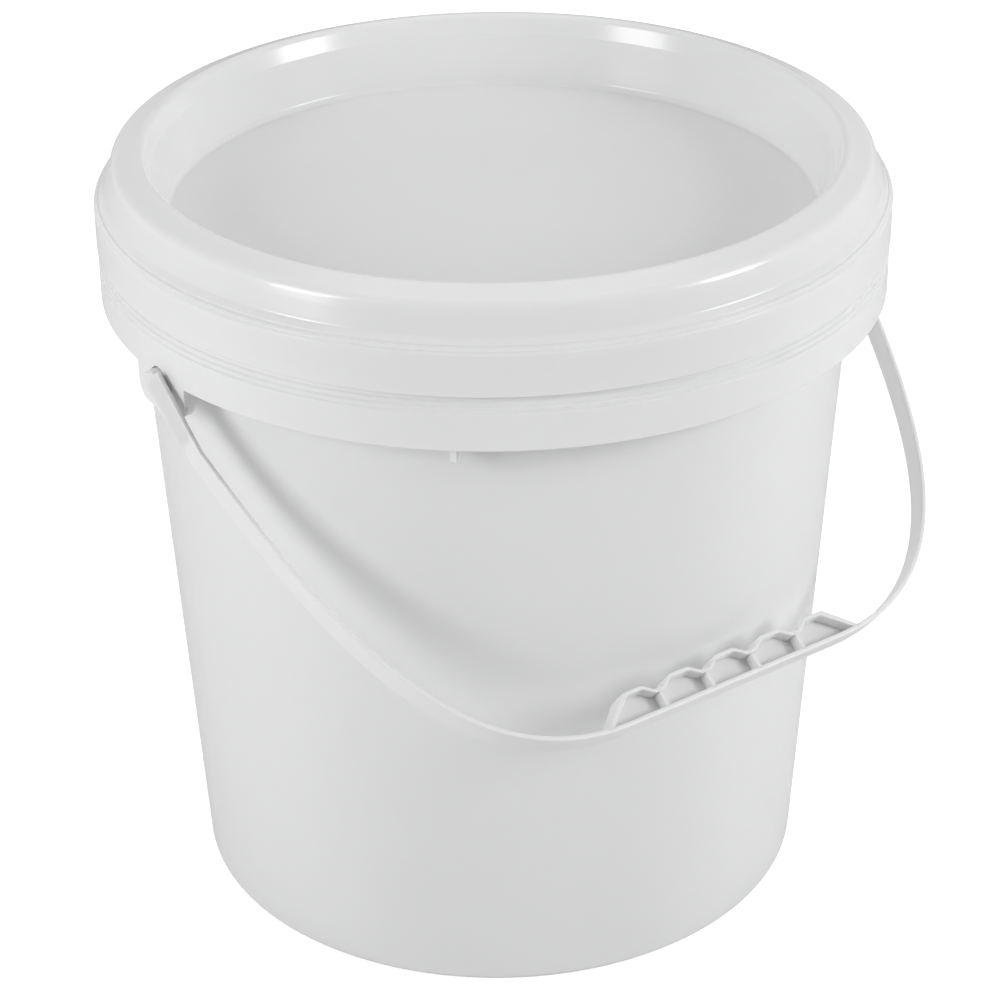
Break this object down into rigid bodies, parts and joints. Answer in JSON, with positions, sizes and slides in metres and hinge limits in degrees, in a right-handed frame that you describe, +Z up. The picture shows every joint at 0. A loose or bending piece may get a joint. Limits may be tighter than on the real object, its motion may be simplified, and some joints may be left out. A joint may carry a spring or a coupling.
{
  "type": "paint bucket",
  "caption": "White plastic paint bucket with a recessed press-on lid, a deep collar and a swinging plastic bail handle with a ribbed finger grip.",
  "frame": {"origin": "middle of the pail's flat bottom, on the surface that it stands on", "axes": "+Z up along the pail's axis, X along the line that the bail turns about, and the bail hangs towards -Y"},
  "size_m": [0.2826, 0.2762, 0.2781],
  "materials": {
    "pail_plastic": "glossy white polypropylene",
    "lid_plastic": "glossy white polypropylene",
    "bail_plastic": "satin white polypropylene"
  },
  "bodies": {
    "pail": {"pail": "pail_plastic"},
    "lid": {"lid": "lid_plastic"},
    "bail": {"bail_handle": "bail_plastic"}
  },
  "joints": [
    {"name": "bail_swing", "type": "hinge", "parent": "pail", "child": "bail", "pos_m": [0, 0, 0.225], "axis": [-1, 0, 0], "range_deg": [0, 254]},
    {"name": "lid_lift", "type": "slide", "parent": "pail", "child": "lid", "axis": [0, 0, 1], "range_m": [0, 0.24]}
  ]
}
